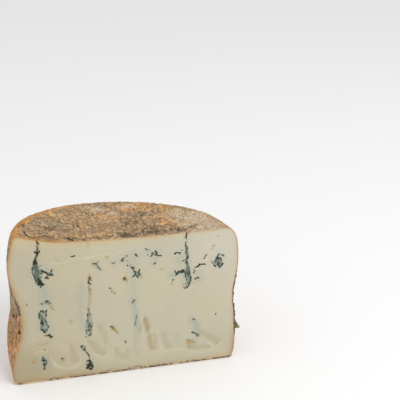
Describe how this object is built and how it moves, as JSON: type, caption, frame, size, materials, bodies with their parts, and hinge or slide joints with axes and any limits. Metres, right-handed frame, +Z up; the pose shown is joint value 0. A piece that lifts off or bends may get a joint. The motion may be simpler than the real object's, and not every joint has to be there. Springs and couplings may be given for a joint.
{
  "type": "blue goat cheese half wheel",
  "caption": "Upright half of a small round blue goat cheese: flat base, bulging rind-covered side, dished top and a flat cut face.",
  "frame": {"origin": "on the base, under the middle of the bounding box", "axes": "+Z up, +X along the cut face to the right as seen from the front, cut face towards -Y"},
  "size_m": [0.18, 0.0864, 0.1204],
  "materials": {
    "paste": "soft matte cream-coloured cheese paste with blue-green mould veins",
    "rind": "dry matte mottled rind, orange-tan and grey-brown"
  },
  "bodies": {
    "root": {"cheese_half": "paste"}
  },
  "joints": []
}
